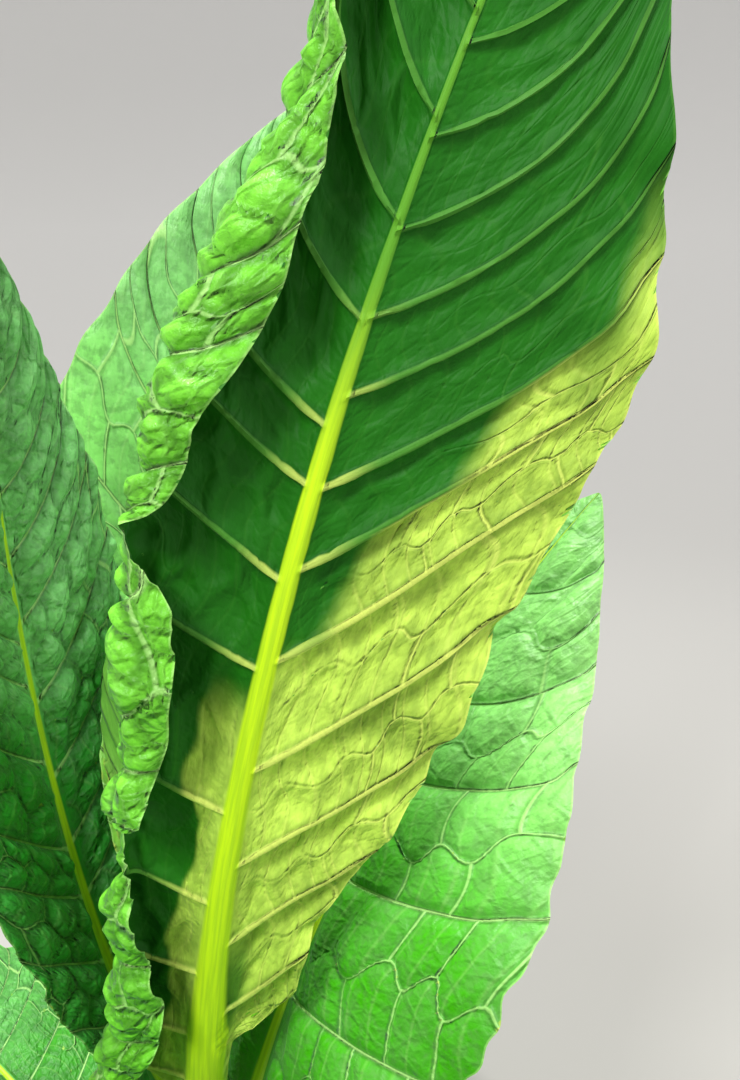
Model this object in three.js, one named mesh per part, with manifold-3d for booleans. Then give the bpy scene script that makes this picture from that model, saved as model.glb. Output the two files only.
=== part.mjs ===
// Tobacco plant before flowering: a rooted stem with its broad leaves, each leaf a part of its own.
// Units are millimetres, +Z is up, the origin is the middle of the flat cut under the stem.

import * as THREE from 'three';
import { mergeVertices } from 'three/addons/utils/BufferGeometryUtils.js';
import Module from 'manifold-3d';

// Stem
const STEM_HEIGHT = 628;
const STEM_FLARE_RADIUS = 25;
const STEM_RADIUS_LOW = 16;
const STEM_RADIUS_HIGH = 12;
const STEM_TIP_RADIUS = 5;
const STEM_TIP_START = 0.86;
const STEM_DOME = 3;
const STEM_FLARE_REACH = 22;
const STEM_SWAY = 3;
const STEM_SWAY_REACH = 100;
const STEM_SIDES = 20;
const STEM_RINGS = 16;
const STEM_RING_CROWDING = 1.25;
const CLEARANCE = 0.3;

// Leaf build
const PATH_STEPS = 240;
const SECTION_STEPS = 48;
const THICKNESS_RATIO = 1 / 98;
const TIP_SHARE = 0.008;
const AXIL_REACH = 0.03;
const BASE_FOLD_REACH = 0.12;
const RUFFLE_START = 0.1;
const WING_SHIFT = 1.7;
const RIB_HALF_BASE = 8;
const RIB_HALF_TIP = 1.5;
const RIB_DEPTH_BASE = 7;
const RIB_DEPTH_TIP = 0.5;
const RIB_LENGTH = 840;
const RIB_LIMIT = 0.45;

// Crown: the lower leaves follow a spiral, and some sag or turn a few degrees away from it
const INTERNODE = 33;
const DIVERGENCE = 137.5;
const SPIRAL_HEIGHT = 443;
const SPIRAL_AZIMUTH = 25;
const LOWER_STEPS = [1, 3, 4, 5, 6, 7, 8, 9, 10, 11, 12];
const LOWER_SAG = [0, 8, 1, 5, 0, 2, 5, 0, 2, 1, 0];
const LOWER_TURN = [0, 0, 4, 18, -5, 0, 6, -4, 3, -6, 5];
const LOWER_LENGTH = 640;
const LOWER_SHRINK = 13;
const LOWER_SLIMNESS = 0.46;
const LOWER_RISE_FOOT = 62.4;
const LOWER_RISE_TIP = 11.4;
const LOWER_FOOT_DROP = 2.4;
const LOWER_TIP_DROP = 3.4;
const LOWER_PHASE_STEP = 1.3;
const YOUNG_SLIMNESS = 0.3;

const COMMON = {
  foot: 9, widest: 0.54, fullness: 0.85, wing: 0.1, rise0: 66, rise1: 30, bend: 1, dip: 30,
  lean0: 0, lean1: 0, roll0: 0, roll1: 0, fold: 8, foldBase: 22, droop: -16, ruffle: 8, waves: 4,
  phase: 0, rightShare: 1, rows: 16, columns: 4, color: 0x3f9c2f,
};

// The tall front leaf shows its underside; its left margin is rolled over in three lobes.
const FRONT_LEAF = {
  ...COMMON, name: 'leaf_front', height: 507, azimuth: -90, length: 840, width: 250,
  rise0: 74, rise1: 95, bend: 0.8, lean0: 3.8, lean1: 25.7, widest: 0.61, fullness: 0.82,
  fold: 0, foldBase: 8, droop: 0, ruffle: 7, waves: 8, rows: 44, columns: 8, color: 0x9cc63a,
  leftWidth: [
    [0, 8], [0.03, 13], [0.06, 30], [0.09, 84], [0.12, 92], [0.18, 87], [0.25, 78], [0.29, 72],
    [0.33, 58], [0.36, 84], [0.42, 94], [0.47, 105], [0.5, 109], [0.53, 80], [0.56, 98], [0.6, 109],
    [0.65, 113], [0.7, 100], [0.74, 85], [0.78, 76], [0.82, 70], [0.87, 64], [0.93, 40], [1, 2.5],
  ],
  rightWidth: [
    [0, 8], [0.04, 13], [0.12, 16], [0.15, 42], [0.18, 51], [0.24, 55], [0.31, 73], [0.4, 97],
    [0.5, 108], [0.57, 113], [0.63, 122], [0.68, 126], [0.76, 113], [0.83, 87], [0.9, 60], [0.96, 32],
    [1, 2.5],
  ],
  rollFrom: [
    [0, 60], [0.06, 50], [0.12, 40], [0.2, 33], [0.3, 38], [0.42, 46], [0.52, 57], [0.6, 60],
    [0.66, 55], [0.7, 47], [0.74, 39], [0.78, 36], [0.84, 32], [0.9, 24], [1, 10],
  ],
  rollTurn: [
    [0, 0], [0.05, 60], [0.1, 170], [0.76, 175], [0.83, 110], [0.9, 60], [1, 20],
  ],
  rollArc: 42,
};

const BACK_LEAF = {
  ...COMMON, name: 'leaf_back', height: 395, azimuth: 104, length: 840, width: 303,
  rise0: 49, rise1: 91, bend: 0.5, lean0: 0, lean1: -19, widest: 0.57, fold: 2, foldBase: 10,
  droop: -6, ruffle: 5, waves: 3, rows: 22, columns: 5, color: 0x63b873,
};

const LEFT_LEAF = {
  ...COMMON, name: 'leaf_left', height: 475, azimuth: 162, length: 645, width: 204,
  rise0: 47, rise1: 92, bend: 0.35, lean1: -2.5, widest: 0.53, fold: 10, foldBase: 16, droop: -8,
  ruffle: 7, rows: 22, columns: 5, color: 0x4c9c5a,
};

const RIGHT_LEAF = {
  ...COMMON, name: 'leaf_right', height: 443, azimuth: 14, length: 556, width: 312,
  rise0: 81, rise1: 41, lean0: -3, lean1: 8, roll0: 18, roll1: 14, widest: 0.46, fold: 4,
  foldBase: 16, droop: -21, ruffle: 6, rightShare: 0.78, rows: 22, columns: 5, color: 0x3fb52c,
};

const YOUNG_LEAVES = [
  { height: 536, azimuth: 98, length: 400, rise0: 74, rise1: 86, fold: 8 },
  { height: 562, azimuth: -125, length: 330, rise0: 80, rise1: 87, fold: 12 },
  { height: 580, azimuth: 13, length: 240, rise0: 80, rise1: 87, fold: 16 },
  { height: 596, azimuth: 150, length: 160, rise0: 80, rise1: 86, fold: 45 },
  { height: 608, azimuth: -40, length: 90, rise0: 76, rise1: 84, fold: 40 },
];

const wasm = await Module();
wasm.setup();

const radians = (degrees) => (degrees * Math.PI) / 180;

const clampUnit = (x) => Math.min(1, Math.max(0, x));

function ease(x) {
  const t = clampUnit(x);
  return t * t * (3 - 2 * t);
}

// Smooth curve through a table of pairs: cubic pieces whose slopes never overshoot.
function along(table, x) {
  const last = table.length - 1;
  if (x <= table[0][0]) return table[0][1];
  if (x >= table[last][0]) return table[last][1];
  let i = 0;
  while (x > table[i + 1][0]) i += 1;
  const slope = (k) => (table[k + 1][1] - table[k][1]) / (table[k + 1][0] - table[k][0]);
  const knot = (k) => {
    if (k === 0) return slope(0);
    if (k === last) return slope(last - 1);
    const a = slope(k - 1);
    const b = slope(k);
    return a * b <= 0 ? 0 : (2 * a * b) / (a + b);
  };
  const step = table[i + 1][0] - table[i][0];
  const t = (x - table[i][0]) / step;
  const rise = table[i + 1][1] - table[i][1];
  return table[i][1] + rise * t * t * (3 - 2 * t)
    + step * t * (1 - t) * ((1 - t) * knot(i) - t * knot(i + 1));
}

// Half width of the blade on one side at a share u of its length.
function halfWidth(leaf, side, u) {
  const table = side < 0 ? leaf.leftWidth : leaf.rightWidth;
  if (table) return along(table, u);
  const swell = Math.log(0.5) / Math.log(leaf.widest);
  const body = Math.sin(Math.PI * u ** swell) ** leaf.fullness;
  const wing = leaf.wing * (1 - u) ** 2;
  const share = side < 0 ? 1 : leaf.rightShare;
  return (leaf.width / 2) * share * (Math.hypot(Math.max(body, 0), wing) + TIP_SHARE);
}

// Angle of the cross-section at distance s from the midrib, positive toward the upper face.
function sectionAngle(leaf, side, u, s, width) {
  const t = s / width;
  const shift = leaf.phase + (side < 0 ? WING_SHIFT : 0);
  let angle = leaf.fold + leaf.foldBase * Math.exp(-u / BASE_FOLD_REACH);
  angle += leaf.droop * t ** 1.5;
  angle += leaf.ruffle * t ** 3 * Math.sin(2 * Math.PI * leaf.waves * u + shift) * ease(u / RUFFLE_START);
  if (side < 0 && leaf.rollFrom) {
    angle -= along(leaf.rollTurn, u) * ease((s - along(leaf.rollFrom, u)) / leaf.rollArc);
  }
  return radians(angle);
}

// The midrib as points with the direction along, across and out of the upper face.
function midribPath(leaf) {
  const heading = radians(leaf.azimuth);
  const across = new THREE.Vector3(-Math.sin(heading), Math.cos(heading), 0);
  const place = new THREE.Vector3(Math.cos(heading), Math.sin(heading), 0).multiplyScalar(leaf.foot);
  place.z = leaf.height;
  const points = [place.clone()];
  const turns = [];
  for (let i = 0; i < PATH_STEPS; i += 1) {
    const k = (i + 0.5) / PATH_STEPS;
    const rise = radians(leaf.rise0 + (leaf.rise1 - leaf.rise0) * k ** leaf.bend
      - leaf.dip * Math.exp(-k / AXIL_REACH));
    const lean = radians(leaf.lean0 + (leaf.lean1 - leaf.lean0) * k);
    const roll = radians(leaf.roll0 + (leaf.roll1 - leaf.roll0) * k);
    const ahead = new THREE.Vector3(
      Math.cos(rise) * Math.cos(heading), Math.cos(rise) * Math.sin(heading), Math.sin(rise));
    const upper = ahead.clone().cross(across);
    const rolledAcross = across.clone().multiplyScalar(Math.cos(roll)).addScaledVector(upper, Math.sin(roll));
    const rolledUpper = upper.clone().multiplyScalar(Math.cos(roll)).addScaledVector(across, -Math.sin(roll));
    const leaned = ahead.clone().multiplyScalar(Math.cos(lean)).addScaledVector(rolledAcross, Math.sin(lean));
    const leanedAcross = rolledAcross.clone().multiplyScalar(Math.cos(lean)).addScaledVector(ahead, -Math.sin(lean));
    place.addScaledVector(leaned, leaf.length / PATH_STEPS);
    points.push(place.clone());
    turns.push({ across: leanedAcross, upper: rolledUpper });
  }
  return { points, turns };
}

function midribAt(path, u) {
  const p = clampUnit(u) * PATH_STEPS;
  const i = Math.min(PATH_STEPS - 1, Math.floor(p));
  const place = path.points[i].clone().lerp(path.points[i + 1], p - i);
  const q = Math.min(PATH_STEPS - 1, Math.max(0, p - 0.5));
  const j = Math.min(PATH_STEPS - 2, Math.floor(q));
  const across = path.turns[j].across.clone().lerp(path.turns[j + 1].across, q - j);
  const upper = path.turns[j].upper.clone().lerp(path.turns[j + 1].upper, q - j);
  return { place, across, upper };
}

// A point of the blade's middle surface and the direction out of its upper face.
function bladePoint(leaf, spot, side, u, share) {
  const width = halfWidth(leaf, side, u);
  const reach = width * share;
  let out = 0;
  let up = 0;
  for (let i = 0; i < SECTION_STEPS; i += 1) {
    const angle = sectionAngle(leaf, side, u, (reach * (i + 0.5)) / SECTION_STEPS, width);
    out += (Math.cos(angle) * reach) / SECTION_STEPS;
    up += (Math.sin(angle) * reach) / SECTION_STEPS;
  }
  const angle = share > 0 ? sectionAngle(leaf, side, u, reach, width) : 0;
  const point = spot.place.clone().addScaledVector(spot.across, side * out).addScaledVector(spot.upper, up);
  const normal = spot.upper.clone().multiplyScalar(Math.cos(angle))
    .addScaledVector(spot.across, -side * Math.sin(angle));
  return { point, normal };
}

// Shares of the half width at which a row has its points: midrib, rib edge, then evenly to the margin.
function rowShares(leaf, side, u) {
  const width = halfWidth(leaf, side, u);
  const rib = RIB_HALF_BASE + (RIB_HALF_TIP - RIB_HALF_BASE) * ease(u);
  const edge = Math.min(RIB_LIMIT, (rib * Math.sqrt(leaf.length / RIB_LENGTH)) / width);
  const shares = [edge];
  for (let i = 1; i < leaf.columns; i += 1) shares.push(edge + ((1 - edge) * i) / (leaf.columns - 1));
  return shares;
}

// Closed blade: an upper and a lower sheet of points joined around the rim, with the rib below.
function leafGeometry(leaf) {
  const path = midribPath(leaf);
  const thick = leaf.length * THICKNESS_RATIO;
  const scale = Math.sqrt(leaf.length / RIB_LENGTH);
  const across = 2 * leaf.columns + 1;
  const points = [[], []];
  for (let r = 0; r <= leaf.rows; r += 1) {
    const u = r / leaf.rows;
    const spot = midribAt(path, u);
    const ribDepth = scale * (RIB_DEPTH_BASE + (RIB_DEPTH_TIP - RIB_DEPTH_BASE) * ease(u));
    const left = rowShares(leaf, -1, u).reverse().map((share) => [-1, share]);
    const right = rowShares(leaf, 1, u).map((share) => [1, share]);
    for (const [side, share] of [...left, [1, 0], ...right]) {
      const { point, normal } = bladePoint(leaf, spot, side, u, share);
      const below = thick / 2 + (share === 0 ? ribDepth : 0);
      points[0].push(point.clone().addScaledVector(normal, thick / 2));
      points[1].push(point.clone().addScaledVector(normal, -below));
    }
  }
  return closedSheets(points, leaf.rows + 1, across);
}

function closedSheets([top, bottom], rows, columns) {
  const size = rows * columns;
  const position = [...top, ...bottom].flatMap((p) => [p.x, p.y, p.z]);
  const index = [];
  const quad = (a, b, c, d) => index.push(a, c, b, a, d, c);
  for (let r = 0; r + 1 < rows; r += 1) {
    for (let c = 0; c + 1 < columns; c += 1) {
      const a = r * columns + c;
      quad(a, a + 1, a + columns + 1, a + columns);
      quad(size + a, size + a + columns, size + a + columns + 1, size + a + 1);
    }
    const left = r * columns;
    const right = left + columns - 1;
    quad(left, left + columns, size + left + columns, size + left);
    quad(right, size + right, size + right + columns, right + columns);
  }
  for (let c = 0; c + 1 < columns; c += 1) {
    const far = (rows - 1) * columns + c;
    quad(c, size + c, size + c + 1, c + 1);
    quad(far, far + 1, size + far + 1, size + far);
  }
  return indexedGeometry(position, index);
}

function indexedGeometry(position, index) {
  const geometry = new THREE.BufferGeometry();
  geometry.setAttribute('position', new THREE.Float32BufferAttribute(position, 3));
  geometry.setIndex(index);
  return geometry;
}

function stemRadius(z) {
  const flare = (STEM_FLARE_RADIUS - STEM_RADIUS_LOW) * Math.exp(-z / STEM_FLARE_REACH);
  const body = STEM_RADIUS_LOW + (STEM_RADIUS_HIGH - STEM_RADIUS_LOW) * (z / STEM_HEIGHT);
  const tip = ease((z / STEM_HEIGHT - STEM_TIP_START) / (1 - STEM_TIP_START));
  return flare + body - (STEM_RADIUS_HIGH - STEM_TIP_RADIUS) * tip;
}

function stemSway(z) {
  return STEM_SWAY * Math.sin((2 * Math.PI * z) / STEM_HEIGHT) * ease(z / STEM_SWAY_REACH);
}

// The stem as rings with a flat cut below and a low dome on top; growth makes it fatter all round.
function stemGeometry(growth) {
  const position = [];
  const index = [];
  for (let r = 0; r <= STEM_RINGS; r += 1) {
    const z = STEM_HEIGHT * (r / STEM_RINGS) ** STEM_RING_CROWDING;
    const radius = stemRadius(z) + growth;
    for (let s = 0; s < STEM_SIDES; s += 1) {
      const a = (2 * Math.PI * s) / STEM_SIDES;
      position.push(stemSway(z) + radius * Math.cos(a), radius * Math.sin(a), z);
    }
  }
  const ring = (r, s) => r * STEM_SIDES + (s % STEM_SIDES);
  for (let r = 0; r < STEM_RINGS; r += 1) {
    for (let s = 0; s < STEM_SIDES; s += 1) {
      index.push(ring(r, s), ring(r, s + 1), ring(r + 1, s + 1));
      index.push(ring(r, s), ring(r + 1, s + 1), ring(r + 1, s));
    }
  }
  const foot = position.length / 3;
  position.push(0, 0, 0, stemSway(STEM_HEIGHT), 0, STEM_HEIGHT + STEM_DOME + growth);
  for (let s = 0; s < STEM_SIDES; s += 1) {
    index.push(foot, ring(0, s + 1), ring(0, s));
    index.push(foot + 1, ring(STEM_RINGS, s), ring(STEM_RINGS, s + 1));
  }
  return indexedGeometry(position, index);
}

function toManifold(geometry) {
  const merged = mergeVertices(geometry);
  return new wasm.Manifold(new wasm.Mesh({
    numProp: 3,
    vertProperties: new Float32Array(merged.attributes.position.array),
    triVerts: new Uint32Array(merged.index.array),
  }));
}

function toGeometry(solid) {
  const mesh = solid.getMesh();
  return indexedGeometry(Array.from(mesh.vertProperties), Array.from(mesh.triVerts));
}

// A leaf trimmed where it meets the stem, so that a thin gap stays between them.
function trimmedLeaf(leaf, cutter) {
  return toGeometry(toManifold(leafGeometry(leaf)).subtract(cutter));
}

// The leaves below the four tall ones follow a spiral; they are shorter and lie flatter toward the ground.
function lowerLeaf(step, order) {
  const azimuth = SPIRAL_AZIMUTH - DIVERGENCE * step + LOWER_TURN[order];
  const length = LOWER_LENGTH - LOWER_SHRINK * step;
  return {
    ...COMMON, name: `leaf_lower_${order + 1}`, height: SPIRAL_HEIGHT - INTERNODE * step,
    azimuth: ((azimuth + 180) % 360 + 360) % 360 - 180, length,
    width: LOWER_SLIMNESS * length,
    rise0: LOWER_RISE_FOOT - LOWER_FOOT_DROP * step - LOWER_SAG[order],
    rise1: LOWER_RISE_TIP - LOWER_TIP_DROP * step - LOWER_SAG[order],
    phase: LOWER_PHASE_STEP * step,
  };
}

function youngLeaf(young, order) {
  return {
    ...COMMON, ...young, name: `leaf_young_${order + 1}`, foot: 3, width: YOUNG_SLIMNESS * young.length,
    foldBase: 6, droop: -4, ruffle: 3, waves: 3, rows: 10, columns: 3, color: 0x8fcf5a,
  };
}

function leafMesh(leaf, cutter) {
  const material = new THREE.MeshStandardMaterial({ color: leaf.color, roughness: 0.55, metalness: 0 });
  const mesh = new THREE.Mesh(trimmedLeaf(leaf, cutter), material);
  mesh.name = leaf.name;
  return mesh;
}

function stemMesh() {
  const material = new THREE.MeshStandardMaterial({ color: 0xa9c847, roughness: 0.6, metalness: 0 });
  const mesh = new THREE.Mesh(stemGeometry(0), material);
  mesh.name = 'stem';
  return mesh;
}

const plant = new THREE.Group();
plant.name = 'tobacco_plant';
const cutter = toManifold(stemGeometry(CLEARANCE));
const leaves = [FRONT_LEAF, BACK_LEAF, LEFT_LEAF, RIGHT_LEAF];
LOWER_STEPS.forEach((step, order) => leaves.push(lowerLeaf(step, order)));
YOUNG_LEAVES.forEach((young, order) => leaves.push(youngLeaf(young, order)));
plant.add(stemMesh());
for (const leaf of leaves) plant.add(leafMesh(leaf, cutter));

export default plant;
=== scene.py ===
"""Tobacco plant before flowering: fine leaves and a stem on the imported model, with floor, light and camera.

Shapes are worked out in millimetres and degrees, +Z up, with the origin under the middle of the stem.
"""

from math import pi, radians

import bpy
import numpy as np
from bpy.props import FloatProperty, FloatVectorProperty, PointerProperty
from bpy.types import Operator, Panel, PropertyGroup
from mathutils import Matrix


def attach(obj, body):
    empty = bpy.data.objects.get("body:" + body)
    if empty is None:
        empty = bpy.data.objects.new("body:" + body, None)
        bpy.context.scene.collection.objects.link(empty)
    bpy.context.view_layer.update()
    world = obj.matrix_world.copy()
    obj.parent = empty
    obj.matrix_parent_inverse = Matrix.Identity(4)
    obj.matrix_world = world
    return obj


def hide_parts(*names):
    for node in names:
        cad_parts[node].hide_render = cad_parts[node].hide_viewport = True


bl_info = {
    "name": "Tobacco plant",
    "version": (1, 0, 0),
    "blender": (4, 5, 0),
    "location": "3D View > Sidebar > Tobacco plant",
    "description": "Builds the leaves and the stem of a tobacco plant before flowering, and a plain studio",
    "category": "Add Mesh",
}

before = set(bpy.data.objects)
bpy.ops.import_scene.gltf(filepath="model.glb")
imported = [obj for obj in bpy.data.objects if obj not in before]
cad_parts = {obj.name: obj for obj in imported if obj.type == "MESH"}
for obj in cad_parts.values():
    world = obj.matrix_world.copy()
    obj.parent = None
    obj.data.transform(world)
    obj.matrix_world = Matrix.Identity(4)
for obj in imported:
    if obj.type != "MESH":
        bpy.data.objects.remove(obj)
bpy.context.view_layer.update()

MM = 0.001

# Blade formula, the same as in the solids
PATH_STEPS = 240
SECTION_STEPS = 40
TIP_SHARE = 0.008
AXIL_REACH = 0.03
BASE_FOLD_REACH = 0.12
RUFFLE_START = 0.1
WING_SHIFT = 1.7
FULL_LENGTH = 840.0

# Fine mesh
RIB_COLUMNS = 7
ROW_CROWDING = 0.7
RIB_LIMIT = 0.82
MARGIN_TAPER = 1.6
NET_TABLE = 61
NET_JITTER = 0.86
VEIN_SWAY = 0.0022

# Relief of the fine mesh: three shares and a ratio, then millimetres
NICK_SHARE = 0.01
NICK_FADE = 0.1
FLAT_SHARE = 0.65
BLISTER_STRETCH = 1.3
QUILT_REACH = 4.5
CRINKLE_HEIGHT = 1.5
VEIN_FLARE_REACH = 6
RIB_CLEAR = 13

# Half widths, in millimetres, under which a narrow blade loses its bulges, its crinkle and its veins
BULGE_WIDTH = 45
CRINKLE_WIDTH = 70
VEIN_WIDTH = 40

# Crown
INTERNODE = 33.0
DIVERGENCE = 137.5
SPIRAL_HEIGHT = 443.0
SPIRAL_AZIMUTH = 25.0
LOWER_STEPS = (1, 3, 4, 5, 6, 7, 8, 9, 10, 11, 12)
LOWER_SAG = (0, 8, 1, 5, 0, 2, 5, 0, 2, 1, 0)
LOWER_TURN = (0, 0, 4, 18, -5, 0, 6, -4, 3, -6, 5)
LOWER_LENGTH = 640.0
LOWER_SHRINK = 13.0
LOWER_SLIMNESS = 0.46
LOWER_RISE_FOOT = 62.4
LOWER_RISE_TIP = 11.4
LOWER_FOOT_DROP = 2.4
LOWER_TIP_DROP = 3.4
LOWER_PHASE_STEP = 1.3
YOUNG_SLIMNESS = 0.3

# Stem
STEM_HEIGHT = 628.0
STEM_FLARE_RADIUS = 25.0
STEM_RADIUS_LOW = 16.0
STEM_RADIUS_HIGH = 12.0
STEM_TIP_RADIUS = 5.0
STEM_TIP_START = 0.86
STEM_DOME = 3.0
STEM_FLARE_REACH = 22.0
STEM_SWAY = 3.0
STEM_SWAY_REACH = 100.0
STEM_RINGS = 300
STEM_SIDES = 72

# Floor, in metres
FLOOR_FLAT = 3.0
FLOOR_RADIUS = 12.0
FLOOR_RINGS = 48
FLOOR_SIDES = 96

# Half width of the midrib along the leaf, for a leaf of full length
RIB_HALF = (
    (0, 11.5), (0.1, 12.5), (0.2, 9), (0.3, 7), (0.45, 5.2), (0.6, 4.1), (0.68, 2.9), (0.76, 1.8), (1, 0.7))

# How far the side veins run up the leaf by the time they reach the margin, as a share of the length
VEIN_ARCH = ((0, 0.01), (0.2, 0.09), (0.45, 0.15), (0.65, 0.15), (0.82, 0.1), (1, 0))

# Four keys here, after crumple, place the border of a tone mask from foot to tip: painted sunlight and
# painted shade on the front leaf, a painted sky sheen on the right leaf.
COMMON = {
    "foot": 9, "widest": 0.54, "fullness": 0.85, "wing": 0.1, "rise0": 66, "rise1": 30, "bend": 1,
    "dip": 30, "lean0": 0, "lean1": 0, "roll0": 0, "roll1": 0, "fold": 8, "foldBase": 22, "droop": -16,
    "ruffle": 8, "waves": 4, "phase": 0, "rightShare": 1, "leftArch": VEIN_ARCH, "rightArch": VEIN_ARCH,
    "vein_count": 11, "rows": 150, "columns": (25, 25), "seed": 1, "tone": 0.5, "cell": 1.7, "net": 1.0,
    "quilt": 0.45, "pucker": 0.9, "crinkle": 1.0, "crumple": 0.6, "depthFrom": 0.5, "depthSlope": 0.1,
    "depthReach": 0.13, "depthWave": 0, "flatFrom": 1,
}

# The skin of the blade's two sides. A pale pair holds strengths on fresh and on deep green, the ends of the
# tone mask, and a shade or relief pair a plain part and a part that grows with the crumple. The shades are
# painted shade in hollows and creases. Reliefs and the wrinkle size are in metres, edges in half widths of a
# vein or the midrib, and net_half in cells of the net.
ABOVE = {
    "net_half": 0.12, "net_pale": (0.55, 0.55), "rung_pale": (0.12, 0.07), "deep_relief": 1.0,
    "wrinkle_size": 0.0065, "hollow_shade": 0.4, "blister_shade": (0, 0.7), "vein_edge": 1.4,
    "rib_edge": (0.45, 0.8), "roughness": (0.36, 0.52), "specular": 0.5, "wrinkle_relief": (0.0007, 0.0015),
    "crease_relief": (0, -0.0008), "rung_relief": -0.0002, "net_relief": -0.0011, "vein_relief": -0.0008,
    "blister_relief": (0, -0.0016),
}
BELOW = {
    "net_half": 0.075, "net_pale": (0.5, 0.14), "rung_pale": (0.22, 0.07), "deep_relief": 0.25,
    "wrinkle_size": 0.0045, "hollow_shade": 0.25, "blister_shade": (0.12, 0), "vein_edge": 1.15,
    "rib_edge": (0.85, 1.15), "roughness": (0.52, 0.64), "specular": 0.25, "wrinkle_relief": (0.0022, 0),
    "crease_relief": (0.0002, 0), "rung_relief": 0.0005, "net_relief": 0.0011, "vein_relief": 0.0011,
    "blister_relief": (0.0002, 0),
}

# The tall front leaf shows its underside; its left margin is rolled over in three lobes.
FRONT_LEAF = {
    **COMMON, "height": 507, "azimuth": -90, "length": 840, "width": 250, "rise0": 74, "rise1": 95,
    "bend": 0.8, "lean0": 3.8, "lean1": 25.7, "fold": 0, "foldBase": 8, "droop": 0, "ruffle": 7, "waves": 8,
    "rows": 430, "columns": (68, 36), "seed": 11, "rollArc": 42, "cell": 1.45, "pucker": 2.0,
    # The tone mask's border here splits painted sunlight, low on the leaf, from painted shade above it.
    "crinkle": 2.0, "crumple": 1.0, "depthFrom": 0.42, "depthSlope": 0.32, "depthReach": 0.05,
    "depthWave": 0.03, "flatFrom": 0.5, "quilt": 0.8,
    "leftArch": ((0, 0.01), (0.15, 0.03), (0.4, 0.05), (0.55, 0.07), (0.7, 0.12), (0.85, 0.09), (1, 0)),
    "rightArch": ((0, 0.01), (0.12, 0.07), (0.3, 0.13), (0.5, 0.18), (0.68, 0.18), (0.84, 0.11), (1, 0)),
    "leftWidth": (
        (0, 8), (0.03, 13), (0.06, 30), (0.09, 84), (0.12, 92), (0.18, 87), (0.25, 78), (0.29, 72),
        (0.33, 58), (0.36, 84), (0.42, 94), (0.47, 105), (0.5, 109), (0.53, 80), (0.56, 98), (0.6, 109),
        (0.65, 113), (0.7, 100), (0.74, 85), (0.78, 76), (0.82, 70), (0.87, 64), (0.93, 40), (1, 2.5),
    ),
    "rightWidth": (
        (0, 8), (0.04, 13), (0.12, 16), (0.15, 42), (0.18, 51), (0.24, 55), (0.31, 73), (0.4, 97),
        (0.5, 108), (0.57, 113), (0.63, 122), (0.68, 126), (0.76, 113), (0.83, 87), (0.9, 60), (0.96, 32),
        (1, 2.5),
    ),
    "rollFrom": (
        (0, 60), (0.06, 50), (0.12, 40), (0.2, 33), (0.3, 38), (0.42, 46), (0.52, 57), (0.6, 60),
        (0.66, 55), (0.7, 47), (0.74, 39), (0.78, 36), (0.84, 32), (0.9, 24), (1, 10),
    ),
    "rollTurn": ((0, 0), (0.05, 60), (0.1, 170), (0.76, 175), (0.83, 110), (0.9, 60), (1, 20)),
    "leftVeins": (
        0.07, 0.13, 0.2, 0.27, 0.35, 0.46, 0.52, 0.58, 0.615, 0.675, 0.728, 0.78, 0.83, 0.88, 0.93,
    ),
    "rightVeins": (
        0.06, 0.15, 0.225, 0.302, 0.383, 0.465, 0.527, 0.578, 0.633, 0.677, 0.723, 0.77, 0.815, 0.86, 0.91,
        0.95,
    ),
}

BACK_LEAF = {
    **COMMON, "height": 395, "azimuth": 104, "length": 840, "width": 303, "rise0": 49, "rise1": 91,
    "bend": 0.5, "lean1": -19, "widest": 0.57, "fold": 2, "foldBase": 10, "droop": -6, "ruffle": 5,
    "waves": 3, "rows": 300, "columns": (44, 44), "vein_count": 13, "seed": 23, "pucker": 0.2, "cell": 1.3,
    "net": 1.5, "crinkle": 0.6, "crumple": 0.15, "depthFrom": 0.6,
}

LEFT_LEAF = {
    **COMMON, "height": 475, "azimuth": 162, "length": 645, "width": 204, "rise0": 47, "rise1": 92,
    "bend": 0.35, "lean1": -2.5, "widest": 0.53, "fold": 10, "foldBase": 16, "droop": -8, "ruffle": 7,
    "rows": 330, "columns": (42, 42), "vein_count": 12, "seed": 31, "pucker": 1.4, "cell": 2.2,
    "net": 1.2, "quilt": 1.2, "crinkle": 0.8, "crumple": 0.65, "depthFrom": 0.45,
}

RIGHT_LEAF = {
    **COMMON, "height": 443, "azimuth": 14, "length": 556, "width": 312, "rise0": 81, "rise1": 41,
    "lean0": -3, "lean1": 8, "roll0": 18, "roll1": 14, "widest": 0.46, "fold": 4, "foldBase": 16,
    "droop": -21, "ruffle": 6, "rightShare": 0.78, "rows": 280, "columns": (48, 40), "vein_count": 6,
    "seed": 43, "pucker": 0.35, "cell": 1.9, "net": 1.8, "quilt": 1.0, "crinkle": 0.4, "crumple": 0.3,
    # The tone mask's border here starts the painted sky sheen on the tip.
    "depthFrom": 0.48, "depthSlope": 0, "depthReach": 0.32,
}

YOUNG_LEAVES = (
    {"height": 536, "azimuth": 98, "length": 400, "rise0": 74, "rise1": 86, "fold": 8},
    {"height": 562, "azimuth": -125, "length": 330, "rise0": 80, "rise1": 87, "fold": 12},
    {"height": 580, "azimuth": 13, "length": 240, "rise0": 80, "rise1": 87, "fold": 16},
    {"height": 596, "azimuth": 150, "length": 160, "rise0": 80, "rise1": 86, "fold": 45},
    {"height": 608, "azimuth": -40, "length": 90, "rise0": 76, "rise1": 84, "fold": 40},
)


def linear(code):
    """Linear colour of an sRGB hex code: c / 12.92 up to 0.04045, else ((c + 0.055) / 1.055)^2.4."""
    channels = [int(code[i:i + 2], 16) / 255 for i in (0, 2, 4)]
    return tuple(c / 12.92 if c <= 0.04045 else ((c + 0.055) / 1.055) ** 2.4 for c in channels)


def length_property(name, description, default):
    """A length in metres that the user may change."""
    return FloatProperty(
        name=name, description=description, default=default, min=0, unit="LENGTH", precision=4)


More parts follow.
